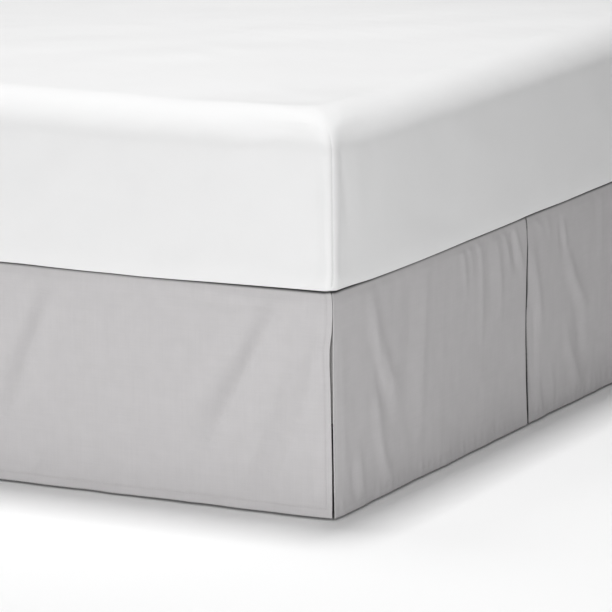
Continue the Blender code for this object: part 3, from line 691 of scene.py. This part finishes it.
def mattress_profile(hanging):
    """The mattress's section from under its edge to its top: (inset, height, corner radius, part) rows."""
    side_top = MATTRESS_HEIGHT - CROWN - UPPER_EDGE
    edge = lower_edge(hanging)
    rows = [(inset, 0.0, LOWER_CORNER + inset * UNDERSIDE_GROWTH, 0.0) for inset in UNDERSIDE_INSETS]
    rows += [(*place, LOWER_CORNER, step / (LOWER_EDGE_ROWS - 1)) for step, place in enumerate(edge)]
    lowest_inset, lowest = edge[-1]
    for step in range(1, SIDE_ROWS + 1):
        share = (step / SIDE_ROWS) ** SIDE_ROW_GROWTH
        height = lowest + (side_top - lowest) * share
        inset = lowest_inset * (1 - math.sin(math.pi / 2 * min(share / FULLEST, 1.0)))
        inset -= SWELL * (1 - (1 - min((height - lowest) / SWELL_REACH, 1.0)) ** SWELL_POWER)
        radius = LOWER_CORNER + (UPPER_CORNER - LOWER_CORNER) * share
        rows.append((inset, height, radius, 1.0))
    for step in range(1, UPPER_EDGE_ROWS + 1):
        angle = step / UPPER_EDGE_ROWS * math.pi / 2
        inset = (UPPER_EDGE + SWELL) * (1 - math.cos(angle)) - SWELL
        height = side_top + UPPER_EDGE * math.sin(angle)
        rows.append((inset, height, UPPER_CORNER + inset * CORNER_GROWTH, math.cos(angle)))
    top = side_top + UPPER_EDGE
    top_corner = UPPER_CORNER + UPPER_EDGE * CORNER_GROWTH
    for step in range(1, TOP_ROWS + 1):
        share = step / TOP_ROWS
        inset = UPPER_EDGE + (TOP_REACH - UPPER_EDGE) * share
        rise = CROWN * math.sin(math.pi / 2 * min(share * CROWN_STEEPNESS, 1.0))
        radius = min(top_corner, (BED_WIDTH / 2 - inset) * CORNER_LIMIT)
        rows.append((inset, top + rise, radius, 0.0))
    return rows


def ring(half_x, half_y, radius, side_steps):
    """A rectangle with round corners, as (x, y, distance from the nearest corner's middle) round it."""
    points = []
    spread = np.linspace(-1.0, 1.0, CORNER_STEPS + 1)
    turns = (1 + np.sign(spread) * np.abs(spread) ** CORNER_CROWD) * math.pi / 4
    for quarter, (sign_x, sign_y) in enumerate(((1, 1), (-1, 1), (-1, -1), (1, -1))):
        centre_x, centre_y = sign_x * (half_x - radius), sign_y * (half_y - radius)
        for turn in turns:
            angle = quarter * math.pi / 2 + turn
            off = abs(turn - math.pi / 4) * radius
            points.append((centre_x + radius * math.cos(angle), centre_y + radius * math.sin(angle), off))
        along_y = quarter % 2 == 1
        run = 2 * ((half_y if along_y else half_x) - radius)
        run_x, run_y = (0, -sign_y * run) if along_y else (-sign_x * run, 0)
        x, y, off = points[-1]
        for share in side_steps[quarter % 2]:
            points.append((x + run_x * share, y + run_y * share, off + min(share, 1 - share) * run))
    return np.array(points)


def side_shares(length, pitch):
    """Where the columns of a side lie, as shares of it."""
    count = round(length / pitch)
    even = (np.arange(1, count) / count) * 2 - 1
    return (np.sin(even * math.pi / 2 * SIDE_CROWD) / math.sin(math.pi / 2 * SIDE_CROWD) + 1) / 2


def mattress_relief(points, from_corner, v, side_share):
    """How far the fitted sheet's creases, seams and drawn-in corners push its surface out."""
    x, y = points[..., 0] - CENTRE_X, points[..., 1] - CENTRE_Y
    full = ease(from_corner / CORNER_CALM)
    relief = CORNER_DRAW * (full - 1) * side_share * ease(from_corner / DRAW_START)
    on_long = ease((np.abs(x) - BED_WIDTH / 2 + SIDE_ZONE) / SIDE_ZONE_FADE)
    on_short = ease((np.abs(y) - BED_LENGTH / 2 + SIDE_ZONE) / SIDE_ZONE_FADE)
    along_x, along_y = x + BED_WIDTH / 2, y + BED_LENGTH / 2
    along_long = np.where(x < 0, along_y, BED_LENGTH - along_y)
    along_short = np.where(y < 0, along_x, BED_WIDTH - along_x)
    beyond = ease(from_corner / CREASE_REST)
    relief += on_long * beyond * fold_relief(LONG_SIDE_CREASES, along_long, v)
    relief += on_short * beyond * fold_relief(SHORT_SIDE_CREASES, along_short, v)
    rested = ease(from_corner / CORNER_REST)
    relief += ripple(SHEET_DRIFT, x + y, v + y * SHEET_DRIFT_SLANT, SHEET_SEED) * rested
    relief += ripple(SHEET_RUMPLE, x, y + v, SHEET_SEED + 1) * rested
    relief += CORNER_PEAK * (1 - full) * 4 * side_share * (1 - side_share)
    above_edge = v - v[EDGE_END]
    seam = np.exp(-((from_corner / SEAM_WIDTH) ** 2))
    seam *= ease((SEAM_TOP - v) / SEAM_FADE) * ease(above_edge / SEAM_START)
    return relief * ease(above_edge / EDGE_CALM) - SEAM_DEPTH * seam


def mattress_rings(rows):
    """The section's rows drawn round the mattress, as ring() gives them, and their z."""
    shares = (side_shares(BED_WIDTH, SHORT_SIDE_PITCH), side_shares(BED_LENGTH, LONG_SIDE_PITCH))
    rings = []
    for inset, height, radius, _ in rows:
        flat = ring(BED_WIDTH / 2 - inset, BED_LENGTH / 2 - inset, radius, shares)
        rings.append(np.column_stack([flat, np.full(len(flat), height)]))
    return np.array(rings)


def hang_share(x, y):
    """How far the lower edge hangs at (x, y) round the mattress, from 0, resting, to 1."""
    from_side, from_end = BED_WIDTH / 2 - np.abs(x), BED_LENGTH / 2 - np.abs(y)
    short = np.interp(BED_WIDTH / 2 + np.where(y < 0, x, -x), *zip(*SHORT_SIDE_HANG))
    long = np.interp(BED_LENGTH / 2 + y, *zip(*LONG_SIDE_HANG))
    return np.where(from_end < from_side, short, long)


def make_mattress(material):
    """The mattress in its fitted sheet. v is how far up round the side a ring lies."""
    rows = mattress_profile(False)
    resting, hanging = mattress_rings(rows), mattress_rings(mattress_profile(True))
    hang = hang_share(*resting[HANG_ROW, :, :2].T)
    rings = resting + (hanging - resting) * hang[None, :, None]
    points = rings[..., (0, 1, 3)] + (CENTRE_X, CENTRE_Y, MATTRESS_LOW[2])
    from_corner = rings[..., 2]
    inset, height, _, side_share = np.array(rows).T[:, :, None]
    v = run_length(inset[:, 0], height[:, 0])[:, None]
    v = v - v[UNDERSIDE_END]
    padded = np.concatenate([points[:, -1:], points, points[:, :1]], axis=1)
    around = np.gradient(padded, axis=1)[:, 1:-1]
    normals = unit(np.cross(around, np.gradient(points, axis=0)))
    points = points + normals * mattress_relief(points, from_corner, v, side_share)[..., None]
    lift = CORNER_LIFT * (1 - ease(from_corner / CORNER_CALM)) * (1 - ease(v / LIFT_REACH))
    points[..., 2] += lift * ease(v / LIFT_START)
    index = np.arange(points[..., 0].size).reshape(points.shape[:2])
    following = np.roll(index, -1, axis=1)
    quads = np.stack([index[:-1], following[:-1], following[1:], index[1:]], axis=-1).reshape(-1, 4)
    faces = quads.tolist() + [index[0][::-1].tolist(), index[-1].tolist()]
    mesh = bpy.data.meshes.new("mattress_in_sheet")
    mesh.from_pydata(points.reshape(-1, 3).tolist(), [], faces)
    piece = new_piece("mattress_in_sheet", mesh, material)
    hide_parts("mattress")


DECK_COLUMNS = 60
DECK_ROWS = 80


def make_deck(material):
    """The platform cloth on the base, under the mattress."""
    low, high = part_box("deck")
    xs = np.linspace(low[0], high[0], DECK_COLUMNS)
    ys = np.linspace(low[1], high[1], DECK_ROWS)
    x, y = np.meshgrid(xs, ys, indexing="ij")
    points = np.stack([x, y, np.full(x.shape, (low[2] + high[2]) / 2)], axis=-1)
    half = np.full(x.shape, (high[2] - low[2]) / 2)
    blocks = [(0, DECK_COLUMNS - 1, DECK_ROWS)]
    piece = closed_sheet("deck_cloth", points, half, half, blocks, np.stack([x, y], axis=-1), material)
    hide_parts("deck")


# ---- materials
# Painted shade: an ambient-occlusion node darkens the cloths' colour towards a shade colour where another
# surface is close.
CREVICE_SHADE_REACH = 0.006  # how close another surface has to be to darken a cloth
CREVICE_SHADE_POWER = 2.5
# Painted shade also covers the cloth folded in behind the slit, out to this far from the strip's middle.
FOLDED_IN = 0.1556  # how far along the strip from its middle the cloth is folded in
PLEAT_SHADE_FADE = 0.0022

# Each finish's plain colour, and the darkest and the lightest that it varies between.
SKIRT_COLOURS = ((0.532, 0.519, 0.524), (0.474, 0.463, 0.468), (0.590, 0.575, 0.581))
SHEET_COLOURS = ((0.778, 0.778, 0.779), (0.766, 0.766, 0.768), (0.790, 0.790, 0.790))
BASE_COLOURS = ((0.60, 0.59, 0.58), (0.56, 0.55, 0.54), (0.64, 0.63, 0.62))
LEG_COLOURS = ((0.05, 0.05, 0.05), (0.040, 0.040, 0.040), (0.062, 0.061, 0.060))
# The painted shade colours that the cloths darken to in crevices, and the skirt also inside its pleat.
SKIRT_CREVICE_SHADE = (0.03, 0.03, 0.03)
SHEET_CREVICE_SHADE = (0.04, 0.04, 0.04)

WEAVE_PITCH = 0.0011
WEAVE_HEIGHT = 0.00006
SLUBS = ((420.0, 9.0), (11.0, 380.0))  # how fine the uneven threads are along and up the cloth
SLUB_SHARE = 0.3
NAP = (38.0, 3.0)  # its noise's scale and detail
NAP_SHARE = 0.4
FIBRES = (900.0, 2.0)
FIBRE_HEIGHT = 0.00008
STITCH_PITCH = 0.0036
STITCH_WIDTH = 0.0006
STITCH_HEIGHT = 0.0003
STITCH_OVERLAP = 0.5
STITCH_ROUNDNESS = 0.5


class Surface:
    """A material under construction: its node tree and its shader."""

    def __init__(self, name, colour, roughness, **sockets):
        self.material = bpy.data.materials.new(name)
        self.material.use_nodes = True
        self.tree = self.material.node_tree
        self.shader = self.tree.nodes["Principled BSDF"]
        self.shader.inputs["Base Color"].default_value = (*colour, 1.0)
        self.shader.inputs["Roughness"].default_value = roughness
        for socket, value in sockets.items():
            self.shader.inputs[socket.replace("_", " ").title()].default_value = value

    def node(self, kind, inputs=None, **settings):
        """A node with its settings and its inputs, each a value or another node's output."""
        made = self.tree.nodes.new(kind)
        for name, value in settings.items():
            setattr(made, name, value)
        for name, value in (inputs or {}).items():
            if isinstance(value, bpy.types.NodeSocket):
                self.tree.links.new(value, made.inputs[name])
            else:
                made.inputs[name].default_value = value
        return made

    def math(self, operation, a, b=0.0):
        """The result of a sum on one or two values."""
        return self.node("ShaderNodeMath", {0: a, 1: b}, operation=operation).outputs[0]

    def noise(self, vector, scale, detail):
        """A noise of that scale and detail, 0 to 1."""
        inputs = {"Vector": vector, "Scale": scale, "Detail": detail}
        return self.node("ShaderNodeTexNoise", inputs).outputs["Fac"]

    def place(self):
        """The place on the piece, in metres."""
        return self.node("ShaderNodeTexCoord").outputs["Object"]

    def cloth(self):
        """The cloth's own map, in metres."""
        return self.node("ShaderNodeUVMap", uv_map="cloth").outputs["UV"]

    def along_and_up(self):
        """How far along the cloth and how far up it a point lies."""
        parts = self.node("ShaderNodeSeparateXYZ", {0: self.cloth()}).outputs
        return parts[0], parts[1]

    def threads(self, scale):
        """Thicker and thinner threads: a noise drawn out along the cloth's own map, 0 to 1."""
        inputs = {"Vector": self.cloth(), "Scale": (*scale, 1.0)}
        return self.noise(self.node("ShaderNodeMapping", inputs).outputs["Vector"], 1.0, 2.0)

    def weave(self):
        """A plain weave's height."""
        turns = [self.math("MULTIPLY", way, 2 * math.pi / WEAVE_PITCH) for way in self.along_and_up()]
        return self.math("MULTIPLY", *[self.math("SINE", turn) for turn in turns])

    def blend(self, factor, a, b):
        """A blend of two colours, each three numbers or another node's output."""
        a, b = (end if isinstance(end, bpy.types.NodeSocket) else (*end, 1.0) for end in (a, b))
        return self.node("ShaderNodeMix", {0: factor, 6: a, 7: b}, data_type="RGBA").outputs[2]

    def stitches(self, row):
        """A row of stitches at that height of the cloth: 1 on a stitch's crest, 0 off it."""
        along, up = self.along_and_up()
        off = self.math("ABSOLUTE", self.math("SUBTRACT", up, row))
        near = self.math("SUBTRACT", 1.0, self.math("DIVIDE", off, STITCH_WIDTH))
        across = self.math("MAXIMUM", near, 0.0)
        wave = self.math("SINE", self.math("MULTIPLY", along, 2 * math.pi / STITCH_PITCH))
        thread = self.math("MAXIMUM", self.math("ADD", wave, STITCH_OVERLAP), 0.0)
        rounded = [self.math("POWER", share, STITCH_ROUNDNESS) for share in (across, thread)]
        return self.math("MULTIPLY", *rounded)

    def painted_pleat_shade(self):
        """Mask of painted shade: 1 on the cloth folded in behind the slit, 0 on the faces."""
        along, _ = self.along_and_up()
        within = self.math("SUBTRACT", FOLDED_IN, self.math("ABSOLUTE", along))
        share = self.math("DIVIDE", within, PLEAT_SHADE_FADE)
        return self.math("MINIMUM", self.math("MAXIMUM", share, 0.0), 1.0)

    def vary(self, factor, dark, light, crevice_shade=None, deep=None):
        """Links the base colour to a blend of two, darkened to a painted shade colour deep between two
        cloths and inside the pleat.
        """
        colour = self.blend(factor, dark, light)
        # Painted shade on the cloth folded in behind the slit.
        if deep:
            colour = self.blend(deep, colour, crevice_shade)
        # Painted shade where another surface is close.
        if crevice_shade:
            shade = self.node("ShaderNodeAmbientOcclusion", {"Distance": CREVICE_SHADE_REACH}, samples=16)
            open_share = self.math("POWER", shade.outputs["AO"], CREVICE_SHADE_POWER)
            colour = self.blend(open_share, crevice_shade, colour)
        self.tree.links.new(colour, self.shader.inputs["Base Color"])

    def bump(self, layers):
        """Links the normal to a chain of bumps, each (height, distance)."""
        normal = None
        for height, distance in layers:
            inputs = {"Height": height, "Distance": distance, "Strength": 1.0}
            if normal is not None:
                inputs["Normal"] = normal
            normal = self.node("ShaderNodeBump", inputs).outputs["Normal"]
        self.tree.links.new(normal, self.shader.inputs["Normal"])


def skirt_material():
    """Light grey brushed microfibre: a fine close weave of slightly uneven threads, a soft nap, and painted
    shade in crevices and inside the pleat.
    """
    plain, dark, light = SKIRT_COLOURS
    cloth = Surface("skirt_cloth_woven", plain, 0.9)
    place = cloth.place()
    nap = cloth.math("MULTIPLY", cloth.noise(place, *NAP), NAP_SHARE)
    slubs = cloth.math("ADD", *[cloth.threads(scale) for scale in SLUBS])
    shade = cloth.math("ADD", nap, cloth.math("MULTIPLY", slubs, SLUB_SHARE))
    cloth.vary(shade, dark, light, SKIRT_CREVICE_SHADE, cloth.painted_pleat_shade())
    hem_stitches = cloth.stitches(HEM_DEPTH)
    fibres = cloth.noise(place, *FIBRES)
    cloth.bump([(cloth.weave(), WEAVE_HEIGHT), (fibres, FIBRE_HEIGHT), (hem_stitches, STITCH_HEIGHT)])
    return cloth.material


def grained_material(name, colours, roughness, mottle, grain, grain_height, crevice_shade=None, **sockets):
    """A finish with a mottled colour and a fine grain, each a noise's scale and detail, and painted shade
    in crevices if given.
    """
    plain, dark, light = colours
    surface = Surface(name, plain, roughness, **sockets)
    place = surface.place()
    surface.vary(surface.noise(place, *mottle), dark, light, crevice_shade)
    surface.bump([(surface.noise(place, *grain), grain_height)])
    return surface.material


def sheet_material():
    """A white cotton fitted sheet, with a little sheen and painted shade in crevices."""
    sheen = {"sheen_weight": 0.4, "sheen_roughness": 0.5}
    noises = ((12.0, 2.0), (700.0, 3.0), 0.00008)
    return grained_material("fitted_sheet_cotton", SHEET_COLOURS, 0.8, *noises, SHEET_CREVICE_SHADE, **sheen)


def base_material():
    """The base's woven cover."""
    return grained_material("base_cover_woven", BASE_COLOURS, 0.9, (300.0, 3.0), (600.0, 2.0), 0.0002)


def leg_material():
    """The legs' dark satin finish."""
    return grained_material("leg_dark_satin", LEG_COLOURS, 0.45, (60.0, 3.0), (400.0, 2.0), 0.00005)


def floor_material():
    """The studio's matt white floor."""
    paint = Surface("floor_white", FLOOR_COLOUR, 1.0)
    paint.shader.inputs["Specular IOR Level"].default_value = 0.0
    return paint.material


def dress_node(node, material):
    """A CAD node that stays takes a better material in its slots."""
    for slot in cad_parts[node].material_slots:
        slot.material = material


# ---- floor, light and camera
FLOOR_HALF = 60.0
FLOOR_COLOUR = (0.94, 0.94, 0.94)
AZIMUTH = math.radians(-62.736)
ELEVATION = math.radians(11.819)
ROLL = math.radians(-0.286)
LENS = 279.53
SENSOR = 36.0
CAMERA_FROM_CORNER = Vector((-6.7886, -3.4474, 1.9552))


def make_camera():
    """The camera, placed from the foot corner nearest to it."""
    data = bpy.data.cameras.new("camera")
    data.lens = LENS
    data.sensor_width = SENSOR
    data.clip_end = 200.0
    camera = put("camera", data)
    corner = Vector((CENTRE_X - BED_WIDTH / 2, CENTRE_Y - BED_LENGTH / 2, HEM_Z))
    turned = Matrix.Rotation(AZIMUTH, 4, "Z") @ Matrix.Rotation(math.pi / 2 - ELEVATION, 4, "X")
    turned @= Matrix.Rotation(ROLL, 4, "Z")
    camera.matrix_world = Matrix.Translation(corner + CAMERA_FROM_CORNER) @ turned
    bpy.context.scene.camera = camera


# Each softbox: where its middle is, what it faces, its width and height, its power and spread in degrees.
LIGHTS = (
    ("over_foot_corner", (-0.15, -0.58, 4.0), (-0.15, -0.58, 0.0), (0.9, 0.65), 88.0, 180.0),
    ("over_head", (0.0, 1.0, 4.0), (0.0, 1.0, 0.0), (1.5, 1.5), 21.0, 180.0),
    ("side_low", (-3.4, 1.4, 0.75), (0.0, 0.7, 0.45), (4.0, 1.4), 22.5, 150.0),
    ("corner_low", (-1.9, -2.3, 0.6), (-0.7, -1.0, 0.35), (1.2, 0.9), 3.8, 150.0),
    ("past_foot", (-6.0, -3.1, 1.3), (-0.3, -0.9, 0.3), (1.4, 1.2), 94.0, 180.0),
    ("over_foot", (-0.6, -2.6, 3.2), (-0.2, -1.0, 0.4), (2.6, 1.8), 6.0, 180.0),
)
WORLD_STRENGTH = 0.235


def make_lights():
    """The softboxes and an even white surrounding."""
    bpy.context.scene.view_settings.view_transform = "Standard"
    for name, place, aim, size, power, spread in LIGHTS:
        data = bpy.data.lights.new(name, "AREA")
        data.shape = "RECTANGLE"
        data.size, data.size_y = size
        data.energy = power
        data.spread = math.radians(spread)
        light = put(name, data)
        light.location = place
        light.rotation_euler = (Vector(aim) - Vector(place)).to_track_quat("-Z", "Y").to_euler()
        light.visible_camera = False
    world = bpy.data.worlds.new("studio")
    world.use_nodes = True
    background = world.node_tree.nodes["Background"]
    background.inputs["Color"].default_value = (1.0, 1.0, 1.0, 1.0)
    background.inputs["Strength"].default_value = WORLD_STRENGTH
    bpy.context.scene.world = world


def make_floor():
    """A wide white floor."""
    far = FLOOR_HALF
    mesh = bpy.data.meshes.new("floor")
    mesh.from_pydata([(-far, -far, 0), (far, -far, 0), (far, far, 0), (-far, far, 0)], [], [(0, 1, 2, 3)])
    floor = put("floor", mesh)
    mesh.materials.append(floor_material())


# ---- the whole scene
# Each drop's own (s, d, z) as a place in the frame.
def at_foot(s, d, z):
    return CENTRE_X - BED_WIDTH / 2 + s, CENTRE_Y - HALF_L - d, z


def at_left(s, d, z):
    return CENTRE_X - HALF_W - d, CENTRE_Y - BED_LENGTH / 2 + s, z


def at_right(s, d, z):
    return CENTRE_X + HALF_W + d, CENTRE_Y - BED_LENGTH / 2 + s, z


# A strip's flat size is its side's length and what its pleat takes up, by the drop with its turned edges.
PLEAT_TAKE_UP = 4 * PLEAT_DEPTH
CUT_DROP = 0.405
# Each end of a drop is free, or meets a drop of the "side" or the "foot".
DROP_COLUMNS = ("name", "node", "length", "pitch", "folds", "ends", "place", "seed")
DROPS = (
    ("foot_drop", "foot_panel", BED_WIDTH, FOOT_PITCH, FOOT_FOLDS, ("side", "side"), at_foot, 11),
    ("left_drop", "side_panel_left", BED_LENGTH, SIDE_PITCH, LEFT_FOLDS, ("foot", "free"), at_left, 23),
    ("right_drop", "side_panel_right", BED_LENGTH, SIDE_PITCH, RIGHT_FOLDS, ("foot", "free"), at_right, 37),
)


def make_scene():
    """Everything, in its place."""
    make_camera()
    skirt = skirt_material()
    for row in DROPS:
        drop = dict(zip(DROP_COLUMNS, row))
        drop["flat"] = (drop["length"] + PLEAT_TAKE_UP, CUT_DROP)
        make_drop(drop, skirt)
    make_deck(skirt)
    make_mattress(sheet_material())
    dress_node("foundation", base_material())
    leg = leg_material()
    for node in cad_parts:
        if node.startswith("leg_"):
            dress_node(node, leg)
    make_floor()
    make_lights()


make_scene()
